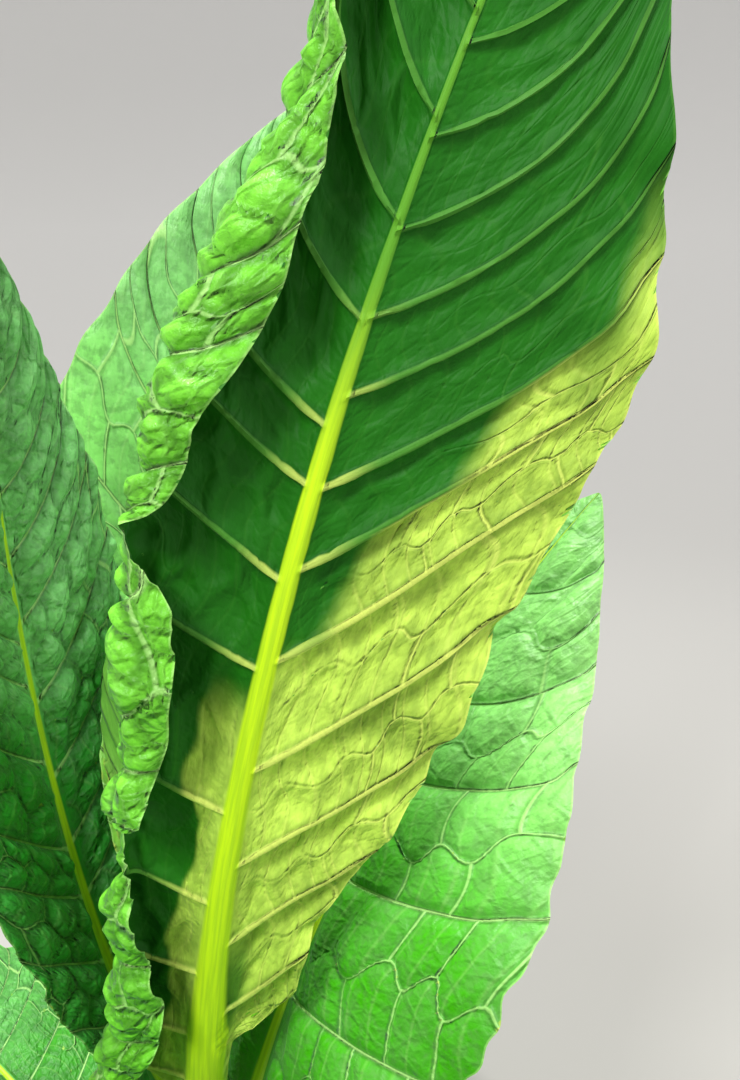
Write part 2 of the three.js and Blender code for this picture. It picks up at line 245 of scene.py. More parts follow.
def colour_property(name, description, code):
    """A colour that the user may change, given as an sRGB hex code."""
    return FloatVectorProperty(
        name=name, description=description, default=linear(code), size=3, min=0, max=1, subtype="COLOR")


class TobaccoLeafSettings(PropertyGroup):
    """Sizes and colours of the leaves."""

    thickness: length_property("Blade thickness", "Thickness of the blade between its veins", 0.0009)
    swell: length_property("Swell", "How far the blade bulges between two side veins", 0.0042)
    pucker: length_property("Pucker", "How far the small blisters between the veins bulge", 0.0024)
    pucker_cell: length_property("Pucker size", "Width of a small blister", 0.0115)
    net_cell: length_property("Net size", "Width of a field of the net that joins the side veins", 0.027)
    vein_height: length_property("Side vein height", "How far a side vein stands out below", 0.003)
    # Painted sunlight: the front leaf's underside where sunlight would shine through it.
    front_under_painted_sunlight: colour_property("Front leaf underside", "Sunlit yellow-green of the upright leaf", "C6E65A")
    # Painted shade: the front leaf's underside where the shadow of another leaf would lie on its upper half.
    front_under_painted_shade: colour_property("Front leaf underside, deep", "Green of its upper half", "1C6A0C")
    front_upper: colour_property("Front leaf upper side", "Green of the rolled margin", "88E01E")
    front_upper_deep: colour_property("Front leaf upper side, deep", "Green of the upper margin", "7AD636")
    back_upper: colour_property("Back leaf upper side", "Fresh mint green", "8EE46E")
    back_upper_deep: colour_property("Back leaf upper side, deep", "Bloomed green of the tip", "86D072")
    left_upper: colour_property("Left leaf upper side", "Puckered bluish green", "2FA02C")
    left_upper_deep: colour_property("Left leaf upper side, deep", "Deep green of the tip", "86D678")
    right_upper: colour_property("Right leaf upper side", "Glossy saturated green", "3CA402")
    # Painted sheen: the pale bluish green of the right leaf's tip stands in for the sky reflected on it.
    right_upper_deep: colour_property("Right leaf upper side, deep", "Bloomed green of the tip", "9CE87A")
    lower_upper: colour_property("Lower leaf upper side", "Green of the older leaves", "3A9A1E")
    young_upper: colour_property("Young leaf upper side", "Soft pale green", "86C83E")
    under: colour_property("Undersides", "Paler green of the undersides", "88BE50")
    vein: colour_property("Side veins", "Pale yellow-green of the side veins", "DCEA70")
    # Toward the tip, and on the front leaf a painted shade of the side veins.
    vein_tip_and_painted_shade: colour_property("Side veins, deep", "Green of the side veins toward the tip", "4E8E30")
    vein_upper: colour_property("Veins on upper sides", "Pale lines over the veins and the net", "B4E886")
    midrib: colour_property("Midrib", "Bright yellow-green of the midrib", "C6EA1C")
    # Painted shade: the midrib beyond about half a metre from the foot.
    midrib_far_painted_shade: colour_property("Midrib, deep", "Green of the midrib toward the tip", "5C9C28")


class TobaccoStemSettings(PropertyGroup):
    """Sizes and colours of the stem."""

    knee: length_property("Knee", "How far the stem swells under a leaf", 0.0022)
    skin: colour_property("Stem skin", "Yellow-green of the stalk", "9DB944")
    skin_old: colour_property("Old stem skin", "Duller green near the ground", "7E9148")


class TobaccoStudioSettings(PropertyGroup):
    """Floor, light and camera."""

    # The floor's paint goes from greyer near the plant to paler far out, painted to even out the light:
    # darker where the lamps fall strongest, paler where less light reaches.
    floor: colour_property("Floor", "Plain pale floor, far from the plant", "ECEAE6")
    floor_near_painted_darker: colour_property("Floor, near", "The same paint near the plant, a little greyer", "B6B4AE")
    top_power: FloatProperty(
        name="Top light", description="Light from above and behind", default=95, unit="POWER")
    key_power: FloatProperty(
        name="Key light", description="Light from the upper left", default=95, unit="POWER")
    side_power: FloatProperty(
        name="Side light", description="Weak light from the right", default=16, unit="POWER")
    sky: FloatProperty(
        name="Surround", description="Strength of the even pale surround", default=0.6, min=0)
    lens: FloatProperty(name="Lens", description="Focal length", default=33.3, min=10, unit="CAMERA")


def ease(x):
    """Smooth step: with t = x held between 0 and 1, t squared times (3 - 2t)."""
    t = np.clip(x, 0, 1)
    return t * t * (3 - 2 * t)


def along(table, x):
    """Smooth curve through a table of pairs: cubic pieces whose knot slope is the harmonic mean of the slopes
    on both sides, or 0 where they have opposite signs, so that the curve never overshoots."""
    xs, ys = np.array(table, float).T
    slope = np.diff(ys) / np.diff(xs)
    product = slope[1:] * slope[:-1]
    total = np.where(product > 0, slope[1:] + slope[:-1], 1)
    inner = np.where(product > 0, 2 * product / total, 0)
    knot = np.concatenate([slope[:1], inner, slope[-1:]])
    x = np.clip(x, xs[0], xs[-1])
    i = np.clip(np.searchsorted(xs, x, side="left") - 1, 0, len(xs) - 2)
    step = xs[i + 1] - xs[i]
    t = (x - xs[i]) / step
    rise = ys[i + 1] - ys[i]
    return ys[i] + rise * t * t * (3 - 2 * t) + step * t * (1 - t) * ((1 - t) * knot[i] - t * knot[i + 1])


def half_width(leaf, side, u):
    """Half width at share u of the length: a table, or half the width times the hypotenuse of a body and a
    wing. The body is sin(pi u^k)^fullness, with k set so that the widest place is where it should be; the
    wing is wing * (1 - u)^2 and keeps a narrow blade beside the midrib at the foot."""
    table = leaf.get("leftWidth" if side < 0 else "rightWidth")
    if table:
        return along(table, u)
    swell = np.log(0.5) / np.log(leaf["widest"])
    body = np.maximum(np.sin(pi * u**swell), 0) ** leaf["fullness"]
    wing = leaf["wing"] * (1 - u) ** 2
    share = 1 if side < 0 else leaf["rightShare"]
    return leaf["width"] / 2 * share * (np.hypot(body, wing) + TIP_SHARE)


def section_angle(leaf, side, u, s, width):
    """Angle of the cross-section at distance s from the midrib, positive toward the upper face: a fold that
    fades from the foot, a droop with (s / width)^1.5, a ruffle with (s / width)^3 times a sine along the
    leaf, and on a rolled margin a turn back over rollArc millimetres from the distance rollFrom."""
    t = s / width
    shift = leaf["phase"] + (WING_SHIFT if side < 0 else 0)
    angle = leaf["fold"] + leaf["foldBase"] * np.exp(-u / BASE_FOLD_REACH)
    angle = angle + leaf["droop"] * t**1.5
    wave = np.sin(2 * pi * leaf["waves"] * u + shift) * ease(u / RUFFLE_START)
    angle = angle + leaf["ruffle"] * t**3 * wave
    if side < 0 and "rollFrom" in leaf:
        angle = angle - along(leaf["rollTurn"], u) * ease((s - along(leaf["rollFrom"], u)) / leaf["rollArc"])
    return np.radians(angle)


def midrib_at(leaf, u):
    """The midrib's point, across direction and upper direction at shares u. The path is summed in short
    steps: each follows the azimuth at a rise angle that goes from rise0 to rise1 as k^bend, less a dip at
    the foot, and is turned in the blade's plane by a lean that grows evenly."""
    k = (np.arange(PATH_STEPS) + 0.5) / PATH_STEPS
    heading = radians(leaf["azimuth"])
    rise = leaf["rise0"] + (leaf["rise1"] - leaf["rise0"]) * k ** leaf["bend"]
    rise = np.radians(rise - leaf["dip"] * np.exp(-k / AXIL_REACH))
    lean = np.radians(leaf["lean0"] + (leaf["lean1"] - leaf["lean0"]) * k)[:, None]
    roll = np.radians(leaf["roll0"] + (leaf["roll1"] - leaf["roll0"]) * k)[:, None]
    ahead = np.stack([np.cos(rise) * np.cos(heading), np.cos(rise) * np.sin(heading), np.sin(rise)], -1)
    across = np.broadcast_to([-np.sin(heading), np.cos(heading), 0], ahead.shape)
    upper = np.cross(ahead, across)
    rolled_across = across * np.cos(roll) + upper * np.sin(roll)
    rolled_upper = upper * np.cos(roll) - across * np.sin(roll)
    step = ahead * np.cos(lean) + rolled_across * np.sin(lean)
    leaned_across = rolled_across * np.cos(lean) - ahead * np.sin(lean)
    path = np.concatenate([np.zeros((1, 3)), np.cumsum(step, 0) * leaf["length"] / PATH_STEPS])
    foot = [np.cos(heading) * leaf["foot"], np.sin(heading) * leaf["foot"], leaf["height"]]
    ends = np.arange(PATH_STEPS + 1) / PATH_STEPS
    place = np.stack([np.interp(u, ends, path[:, i] + foot[i]) for i in range(3)], -1)
    side_way = np.stack([np.interp(u, k, leaned_across[:, i]) for i in range(3)], -1)
    upper_way = np.stack([np.interp(u, k, rolled_upper[:, i]) for i in range(3)], -1)
    return place, side_way, upper_way


def blade_surface(leaf, side, u, share, width):
    """A point of the blade's middle surface and the direction out of its upper face. With s = share * width,
    the point lies s times the section's mean cosine across and s times its mean sine up from the midrib."""
    reach = width * share
    steps = (np.arange(SECTION_STEPS) + 0.5) / SECTION_STEPS
    angle = section_angle(leaf, side, u[..., None], reach[..., None] * steps, width[..., None])
    run = (reach * np.cos(angle).mean(-1))[..., None]
    climb = (reach * np.sin(angle).mean(-1))[..., None]
    place, across, upper = midrib_at(leaf, u)
    here = section_angle(leaf, side, u, reach, width)[..., None]
    point = place + side * run * across + climb * upper
    normal = np.cos(here) * upper - side * np.sin(here) * across
    return point, normal


def vein_roots(leaf, side):
    """Shares of the length at which the side veins leave the midrib: a table, or even steps moved a little
    at random."""
    table = leaf.get("leftVeins" if side < 0 else "rightVeins")
    if table:
        return np.array(table)
    count = leaf["vein_count"]
    random = np.random.default_rng(leaf["seed"] * 10 + (side > 0))
    return 0.03 + 0.92 * (np.arange(count) + 0.5 + 0.45 * (random.random(count) - 0.5)) / count


def gather(x, roots):
    """Share of the length for an even row number x, so that rows crowd at the veins: between two roots a
    and b, with q = (x - a) / (b - a), it is a + (b - a) * (q - crowding * sin(2 pi q) / (2 pi))."""
    edges = np.concatenate([[0.0], roots, [1.0]])
    i = np.clip(np.searchsorted(edges, x, side="right") - 1, 0, len(edges) - 2)
    gap = edges[i + 1] - edges[i]
    q = (x - edges[i]) / gap
    return edges[i] + gap * (q - ROW_CROWDING * np.sin(2 * pi * q) / (2 * pi))


def blisters(x, y, seed):
    """Distance, in cells, to the nearest border of a net of irregular cells, and a random number for the
    cell. Each unit square holds one point at a random place, and borders lie halfway between neighbours."""
    table = np.random.default_rng(seed).random((NET_TABLE, NET_TABLE, 3))
    column = np.floor(x).astype(int)
    row = np.floor(y).astype(int)
    away = []
    tone = []
    for i in range(-2, 3):
        for j in range(-2, 3):
            cell = table[(column + i) % NET_TABLE, (row + j) % NET_TABLE]
            jitter = 0.5 + (cell[..., :2] - 0.5) * NET_JITTER
            away.append(np.stack([column + i - x, row + j - y], -1) + jitter)
            tone.append(cell[..., 2])
    away = np.array(away)
    order = (away**2).sum(-1).argmin(0)
    near = np.take_along_axis(away, order[None, ..., None], 0)[0]
    tone = np.take_along_axis(np.array(tone), order[None], 0)[0]
    gap = away - near
    size = np.sqrt((gap**2).sum(-1))
    middle = ((away + near) / 2 * gap).sum(-1)
    return np.where(size > 1e-6, middle / np.maximum(size, 1e-6), np.inf).min(0), tone


def half_grid(leaf, side):
    """Shares of length and half width of one side's grid points, from the midrib to the margin. The rows
    follow the side veins: u = v + arch(v) * (0.6 share + 0.4 share^2), and a small sway."""
    columns = leaf["columns"][int(side > 0)]
    x = np.linspace(0, 1, leaf["rows"] + 1)[:, None]
    c = np.arange(columns + 1)[None, :]
    scale = np.sqrt(leaf["length"] / FULL_LENGTH)
    edge = np.minimum(RIB_LIMIT, along(RIB_HALF, x) * scale / half_width(leaf, side, x))
    outside = np.maximum(c - RIB_COLUMNS, 0) / (columns - RIB_COLUMNS)
    share = np.where(c <= RIB_COLUMNS, edge * c / RIB_COLUMNS, edge + (1 - edge) * outside)
    v = x + (gather(x, vein_roots(leaf, side)) - x) * ease(share / 0.1)
    arch = along(leaf["leftArch" if side < 0 else "rightArch"], v)
    sway = np.sin(9 * share + 41 * v + side) + 0.4 * np.sin(21 * share - 23 * v)
    sway = VEIN_SWAY * sway * share**2 * ease(v / 0.1) * ease((1 - v) / 0.2)
    u = np.clip(v + arch * (0.6 * share + 0.4 * share**2) + sway, 0, 1)
    return v, u, share, arch * (0.6 + 0.8 * share)


def vein_bands(roots, v):
    """The band between two side veins that share v of the length lies in: its number, how far across it the
    share lies, and the band's width as a share of the length."""
    edges = np.concatenate([[0.0], roots, [1.0]])
    band = np.clip(np.searchsorted(edges, v, side="right") - 1, 0, len(roots))
    gap = edges[band + 1] - edges[band]
    return band, np.clip((v - edges[band]) / gap, 0, 1), gap


def net_place(leaf, side, cells, band, between):
    """Place on the net that joins the side veins, in cells. y = 2 * (band + between) has its even values on
    the veins, and x counts the cells out from the midrib. Sines warp both, though not y on a vein, and a
    cosine makes the odd values of y zigzag, so that the fields become six-sided."""
    phase = leaf["seed"] + 2.4 * band
    x = cells * (1 + 0.22 * np.sin(3.7 * band + leaf["seed"])) + 0.45 * band
    x = x + 0.1 * np.sin(2.3 * x + phase) + 0.13 * np.sin(5.1 * between + 1.7 * phase) + 0.2 * between
    free = np.sin(pi * between) ** 2
    y = 2 * (band + between) - free * (0.2 * np.cos(2 * pi * x) + 0.16 * np.sin(1.9 * x + 2 * phase))
    return x + (10 if side > 0 else 60), y


def net_distance(x, y, cell, gap):
    """Millimetres to the nearest line of the net. Its lines are the whole values of y and, as in brickwork,
    the whole values of x in odd rows and the half values in even ones."""
    row = np.floor(y)
    across = (x + 0.5 * (row % 2 == 0)) % 1
    up = y - row
    return np.minimum(np.minimum(across, 1 - across) * cell, np.minimum(up, 1 - up) * gap / 2)


def blister_share(leaf, side, u, reach):
    """How far the small blisters bulge. On the front leaf they are low on the flat part of the blade and full
    on its rolled margin."""
    if "rollFrom" not in leaf:
        return leaf["pucker"]
    if side > 0:
        return 0.3 * leaf["pucker"]
    return leaf["pucker"] * (0.2 + 0.8 * ease((reach - along(leaf["rollFrom"], u)) / 14))


def ragged_width(leaf, side, u, share, phase):
    """Half width with small nicks toward the margin, which fade out at the foot and the tip."""
    nick = np.sin(53 * u + phase[0]) + np.sin(117 * u + phase[1])
    width = half_width(leaf, side, u)
    return width * (1 + NICK_SHARE * share**4 * nick * ease(u / NICK_FADE) * ease((1 - u) / NICK_FADE))


def vein_half_width(share, v, flared, scale):
    """Half width of a side vein, which flares at the midrib and slims toward the margin and the tip."""
    return (0.5 + 0.65 * (1 - share) + 0.9 * flared) * (1.05 - 0.45 * ease((v - 0.5) / 0.3)) * scale


def small_blisters(leaf, side, u, reach, cell, phase):
    """Distance in cells to the nearest border of the small blisters, and a random number for each."""
    along_leaf = u * leaf["length"]
    return blisters(
        reach / (BLISTER_STRETCH * cell) + 30 * side + 0.3 * np.sin(along_leaf / 31 + phase[0]),
        along_leaf / cell + 0.35 * np.sin(reach / 19 + phase[1]), leaf["seed"] + 3)


def bulge_height(leaf, side, settings, at, phase):
    """How far the blade stands up between its veins: a swell from vein to vein with a quilt in each field of
    the net, a dome on each small blister, and a crinkle that grows toward the margin."""
    u, share = at["u"], at["share"]
    quilt = 1 - np.exp(-((at["net"] / QUILT_REACH) ** 2))
    swell = settings.swell / MM * (np.sin(pi * at["between"]**1.6) ** 0.8 + leaf["quilt"] * quilt)
    swell = swell * (1 - FLAT_SHARE * ease((u - leaf["flatFrom"]) / 0.2) * (side > 0))
    dome = np.sin(np.minimum(at["crease"] / (0.42 * at["cell"]), 1) * pi / 2) * (0.45 + 0.9 * at["tone"])
    pucker = settings.pucker / MM * dome * blister_share(leaf, side, u, at["reach"])
    crinkle = np.sin(71 * u + phase[2]) + 0.6 * np.sin(139 * u + phase[3])
    crinkle = CRINKLE_HEIGHT * leaf["crinkle"] * crinkle * share**5
    return (swell * (1 - 0.5 * share**8) + pucker) * at["room"] + crinkle * ease(at["width"] / CRINKLE_WIDTH)


def vein_ridge(settings, at, scale):
    """How far the side veins stand out below."""
    share = at["share"]
    ridge = settings.vein_height / MM * (0.3 + 0.7 * (1 - share)) + 0.7 * at["flared"]
    ridge = ridge * np.clip(1 - (at["to_vein"] / (1.25 * at["vein_half"])) ** 2, 0, 1) ** 1.2
    return ridge * ease((1 - share) / 0.1) * ease(at["width"] / VEIN_WIDTH) * scale


def blade_places(leaf, side, settings, phase, scale):
    """What the relief of one side is worked out from, as one grid for each value: the place on the blade, and
    the distances to the veins, the net and the small blisters, in millimetres."""
    roots = vein_roots(leaf, side)
    v, u, share, slant = half_grid(leaf, side)
    width = ragged_width(leaf, side, u, share, phase)
    reach = share * width
    rib_half = along(RIB_HALF, u) * scale
    tilt = 1 / np.sqrt(1 + (slant * leaf["length"] / np.maximum(width, 1)) ** 2)
    to_vein = np.abs(v[..., None] - roots).min(-1) * leaf["length"] * tilt
    flared = np.exp(-np.maximum(reach - rib_half, 0) / VEIN_FLARE_REACH)
    band, between, gap = vein_bands(roots, v)
    net_cell = settings.net_cell / MM * scale * leaf["net"]
    net_x, net_y = net_place(leaf, side, reach / net_cell, band, between)
    net = np.minimum(net_distance(net_x, net_y, net_cell, gap * leaf["length"] * tilt), to_vein)
    cell = settings.pucker_cell / MM * leaf["cell"]
    crease, tone = small_blisters(leaf, side, u, reach, cell, phase)
    return {
        "u": u, "v": v, "share": share, "width": width, "reach": reach, "rib_half": rib_half,
        "to_vein": to_vein, "flared": flared, "vein_half": vein_half_width(share, v, flared, scale),
        "band": band, "between": between, "net": net, "net_x": net_x, "net_y": net_y, "cell": cell,
        "crease": np.minimum(crease * cell, np.minimum(net, to_vein)), "tone": tone,
        "room": ease(width / BULGE_WIDTH) * ease((reach - rib_half) / RIB_CLEAR),
    }


def half_blade(leaf, side, settings):
    """One side of the blade: the middle surface, with the veins, the nets between them and the bulges."""
    scale = np.sqrt(leaf["length"] / FULL_LENGTH)
    random = np.random.default_rng(leaf["seed"] * 7 + (side > 0))
    phase = random.random(4) * 2 * pi
    at = blade_places(leaf, side, settings, phase, scale)
    u, share, reach, rib_half = at["u"], at["share"], at["reach"], at["rib_half"]
    point, normal = blade_surface(leaf, side, u, share, at["width"])
    bulge = bulge_height(leaf, side, settings, at, phase)
    ridge = vein_ridge(settings, at, scale)
    rib = 0.85 * rib_half * np.sqrt(np.clip(1 - (reach / (1.06 * rib_half)) ** 2, 0, 1))
    # The shift makes the border of the painted shade on the front leaf ragged from band to band.
    shift = at["between"] + 0.6 * np.sin(15 * share + 2.4 * at["band"])
    return {
        "point": point + (bulge * scale)[..., None] * normal,
        "normal": normal,
        "ridge": np.maximum(ridge, rib),
        "groove": 0.16 * rib_half * np.exp(-(reach / rib_half * 1.6) ** 2) + 0.5 * ridge * at["room"],
        "margin": (1 - share) * at["width"],
        "vein": at["to_vein"] / at["vein_half"],
        "rib": reach / rib_half,
        "crease": at["crease"],
        # Tone mask: painted sunlight and painted shade on the front leaf, a painted sky sheen on the right
        # leaf.
        "depth": leaf_tone_and_painted_light(leaf, side, u, share, shift),
        "surface": np.stack([side * reach, at["v"] * leaf["length"]], -1) * MM,
        "lattice": np.stack([at["net_x"], at["net_y"]], -1),
    }


def leaf_tone_and_painted_light(leaf, side, u, share, shift):
    """A tone mask from 0, fresh, to 1, deep green: it grows from the middle of the leaf to its tip, and the
    shift moves the border from band to band. On most leaves it is a tone of the tip, and on the right leaf
    the pale tip is a painted sheen of the sky. On the front leaf it is painted light: fresh is painted
    sunlight and deep is painted shade, which also lies beside the foot of the midrib and on its left side all
    over, except for a ragged sunlit strip beside the midrib."""
    border = leaf["depthFrom"] + leaf["depthSlope"] * share + leaf["depthWave"] * (shift - 0.5)
    depth = ease((u - border) / leaf["depthReach"])
    if "rollFrom" not in leaf:
        return depth
    if side > 0:
        return np.maximum(depth, 0.85 * ease((0.27 - u) / 0.08) * ease((0.5 - share) / 0.2))
    ragged = share + 0.035 * np.sin(47 * u) + 0.02 * np.sin(131 * u)
    return ease(u / 0.16) * (1 - 0.85 * ease((0.33 - ragged) / 0.05) * ease((0.45 - u) / 0.04))


def joined_halves(leaf, settings):
    """The two sides as one grid that runs from the left margin over the midrib to the right margin."""
    left = half_blade(leaf, -1, settings)
    right = half_blade(leaf, 1, settings)
    return {key: np.concatenate([left[key][:, :0:-1], right[key]], 1) for key in left}


def surface_normals(point, guide):
    """Directions square to a grid: the cross product of its steps along rows and columns, on the side of
    the guide."""
    cross = np.cross(np.gradient(point, axis=1), np.gradient(point, axis=0))
    size = np.linalg.norm(cross, axis=-1, keepdims=True)
    cross = np.where(size > 1e-9, cross / np.maximum(size, 1e-9), guide)
    return cross * np.where((cross * guide).sum(-1, keepdims=True) < 0, -1, 1)


def closed_sheets(leaf, settings):
    """Points, quads and per-point values of a thin closed blade. Both faces stand half a thickness off the
    middle surface, which thins out to nothing at the margin, and share the points of the rim."""
    grid = joined_halves(leaf, settings)
    normal = surface_normals(grid["point"], grid["normal"])
    half = settings.thickness / MM / 2 * np.clip(grid["margin"] / MARGIN_TAPER, 0, 1)
    rows, columns = half.shape
    inside = np.zeros((rows, columns), bool)
    inside[1:-1, 1:-1] = True
    top = grid["point"] + normal * np.where(inside, half - grid["groove"], 0)[..., None]
    bottom = grid["point"] - normal * np.where(inside, half + grid["ridge"], 0)[..., None]
    upper_index = np.arange(rows * columns).reshape(rows, columns)
    lower_index = upper_index.copy()
    lower_index[inside] = rows * columns + np.arange(inside.sum())
    points = np.concatenate([top.reshape(-1, 3), bottom[inside]])
    quads = np.concatenate([grid_quads(upper_index), grid_quads(lower_index)[:, ::-1]])
    values = {}
    for key in ("vein", "rib", "crease", "depth", "margin"):
        values[key] = np.concatenate([grid[key].ravel(), grid[key][inside]])
    layers = {}
    for key in ("surface", "lattice"):
        layers[key] = np.concatenate([grid[key].reshape(-1, 2), grid[key][inside]])
    faces = np.repeat([0, 1], (rows - 1) * (columns - 1))
    return points * MM, quads, faces, values, layers


def grid_quads(index):
    """Quads of a grid of point numbers, with the corners counted from a row to the next column."""
    corners = [index[:-1, :-1], index[:-1, 1:], index[1:, 1:], index[1:, :-1]]
    return np.stack(corners, -1).reshape(-1, 4)


def make_piece(name, points, faces, sizes, material_index, values, layers, materials):
    """A mesh object at the origin from point places, a flat list of corners and each face's corner count."""
    mesh = bpy.data.meshes.new(name)
    mesh.vertices.add(len(points))
    mesh.vertices.foreach_set("co", points.astype(np.float32).ravel())
    mesh.loops.add(len(faces))
    mesh.loops.foreach_set("vertex_index", faces.astype(np.int32))
    mesh.polygons.add(len(sizes))
    mesh.polygons.foreach_set("loop_start", np.concatenate([[0], np.cumsum(sizes)[:-1]]).astype(np.int32))
    mesh.polygons.foreach_set("material_index", material_index.astype(np.int32))
    mesh.update(calc_edges=True)
    for key, value in values.items():
        mesh.attributes.new(key, "FLOAT", "POINT").data.foreach_set("value", value.astype(np.float32))
    for key, place in layers.items():
        mesh.uv_layers.new(name=key).data.foreach_set("uv", place[faces].astype(np.float32).ravel())
    mesh.shade_smooth()
    mesh.set_sharp_from_angle(angle=radians(75))
    for material in materials:
        mesh.materials.append(material)
    piece = bpy.data.objects.new(name, mesh)
    bpy.context.scene.collection.objects.link(piece)
    return piece


def make_leaf(node, leaf, settings, materials):
    """A fine leaf that stands for one packed leaf."""
    points, quads, faces, values, layers = closed_sheets(leaf, settings)
    sizes = np.full(len(quads), 4)
    piece = make_piece("fine_" + node, points, quads.ravel(), sizes, faces, values, layers, materials)
    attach(piece, "root")
    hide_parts(node)
    return piece


def add_node(tree, kind, inputs=None, **settings):
    """One shader node with its settings; inputs gives each socket a value or the output that feeds it."""
    node = tree.nodes.new(kind)
    for name, value in settings.items():
        setattr(node, name, value)
    for key, value in (inputs or {}).items():
        if isinstance(value, bpy.types.NodeSocket):
            tree.links.new(value, node.inputs[key])
        else:
            node.inputs[key].default_value = value
    return node


def new_material(name):
    """An empty node material and its tree."""
    material = bpy.data.materials.new(name)
    material.use_nodes = True
    material.node_tree.nodes.clear()
    return material, material.node_tree


def mixed(colour, other, share):
    """A plain colour between two others."""
    return tuple(a + (b - a) * share for a, b in zip(colour, other))


def fading(tree, source, start, end, strength):
    """A share that is the strength up to the start and falls smoothly to 0 at the end."""
    node = add_node(
        tree, "ShaderNodeMapRange", {0: source, 1: start, 2: end, 3: strength, 4: 0.0},
        interpolation_type="SMOOTHSTEP")
    return node.outputs[0]


def covered(tree, factor, under, over):
    """A colour laid over another by a share."""
    node = add_node(tree, "ShaderNodeMix", {0: factor, 6: under, 7: over}, data_type="RGBA")
    return node.outputs[2]


def raised(tree, height, distance, before=None):
    """A bump of a real height in metres, on top of the one before; a negative height is a groove."""
    inputs = {"Height": height, "Distance": abs(distance), "Strength": 1.0}
    if before:
        inputs["Normal"] = before
    return add_node(tree, "ShaderNodeBump", inputs, invert=distance < 0).outputs[0]


def product(tree, one, other):
    """Two shares multiplied."""
    return add_node(tree, "ShaderNodeMath", {0: one, 1: other}, operation="MULTIPLY").outputs[0]


def net_lines(tree, off_rib, width=1.0, height=1.0, half=0.1):
    """A net between the side veins, drawn on the lattice as brickwork: 1 on its lines, fading to 0 at a half
    width beside them, and left out on the midrib. Bricks 2 high reach from one side vein to the next."""
    lattice = add_node(tree, "ShaderNodeUVMap", uv_map="lattice")
    joints = add_node(
        tree, "ShaderNodeTexBrick",
        {"Vector": lattice.outputs["UV"], "Scale": 1.0, "Mortar Size": half, "Mortar Smooth": 1.0,
         "Bias": 0.0, "Brick Width": width, "Row Height": height},
        offset=0.5, offset_frequency=2, squash=1.0)
    return product(tree, joints.outputs["Fac"], off_rib)


def attribute(tree, name):
    """A value that the mesh holds for each of its points."""
    return add_node(tree, "ShaderNodeAttribute", attribute_name=name).outputs["Fac"]


def ranged(tree, source, start, end, low, high):
    """A value that goes evenly from low to high while the source goes from the start to the end."""
    return add_node(tree, "ShaderNodeMapRange", {0: source, 1: start, 2: end, 3: low, 4: high}).outputs[0]


def noise(tree, place, size, detail, roughness=0.5):
    """Noise whose patches are about one size wide, in metres."""
    node = add_node(
        tree, "ShaderNodeTexNoise",
        {"Vector": place, "Scale": 1 / size, "Detail": detail, "Roughness": roughness})
    return node.outputs["Fac"]


def squeezed(tree, place, scale):
    """A place scaled along each axis, so that a pattern on it is drawn out where the scale is small."""
    return add_node(tree, "ShaderNodeMapping", {0: place, 3: scale}).outputs[0]


def net_pattern(tree, look, leaf, off_rib, outward):
    """The net between the side veins, weaker within 65 mm of the midrib."""
    distance = add_node(tree, "ShaderNodeMath", {0: outward}, operation="ABSOLUTE").outputs[0]
    outer = ranged(tree, distance, 0.02, 0.065, 0.25, 1.0)
    return product(tree, net_lines(tree, off_rib, half=look["net_half"] / leaf["net"]), outer)


def leaf_patterns(tree, look, upper, leaf):
    """The patterns that colour and relief share, as one output each."""
    place = add_node(tree, "ShaderNodeTexCoord").outputs["Object"]
    surface = add_node(tree, "ShaderNodeUVMap", uv_map="surface").outputs["UV"]
    at = {key: attribute(tree, key) for key in ("vein", "rib", "crease", "depth", "margin")}
    off_rib = ranged(tree, at["rib"], 1.0, 1.5, 0.0, 1.0)
    across = add_node(tree, "ShaderNodeSeparateXYZ", {0: surface}).outputs
    small = add_node(
        tree, "ShaderNodeTexVoronoi", {"Vector": surface, "Scale": 1 / 0.0075, "Randomness": 1.0},
        feature="DISTANCE_TO_EDGE", voronoi_dimensions="2D").outputs["Distance"]
    wrinkled = place if upper else squeezed(tree, surface, (1, 0.3, 1))
    return {
        **at, "off_rib": off_rib,
        "net": net_pattern(tree, look, leaf, off_rib, across["X"]),
        "rungs": net_lines(tree, off_rib, 0.44, 2.0, 0.05),
        "patch": noise(tree, place, 0.045, 4, 0.65),
        # 1 up to about half a metre from the foot, where the midrib and the veins beside it are painted
        # sunlit, and 0 beyond, in painted shade.
        "near": fading(tree, across["Y"], 0.48, 0.6, 1.0),
        "streak": noise(tree, squeezed(tree, surface, (1, 0.03, 1)), 0.0022, 3),
        "plain": ranged(tree, at["depth"], 0.0, 1.0, 1.0, look["deep_relief"]),
        "wrinkle": noise(tree, wrinkled, look["wrinkle_size"], 4, 0.55),
        "small_crease": product(tree, fading(tree, small, 0.0, 0.28, 1.0), off_rib),
        "blister_edge": product(tree, fading(tree, at["crease"], 0.0, 3.0, 1.0), off_rib),
    }


def crumpled(pair, crumple):
    """A plain part and a part that grows with the crumple, summed."""
    return pair[0] + pair[1] * crumple


def midrib_colour(tree, at, settings):
    """Bright up to about half a metre from the foot and greener beyond, a painted shade, streaked lengthwise.
    """
    # The greener colour is painted shade.
    green = (*settings.midrib_far_painted_shade, 1)
    colour = covered(tree, at["near"], green, (*settings.midrib, 1))
    return covered(tree, fading(tree, at["streak"], 0.38, 0.62, 0.3), colour, green)


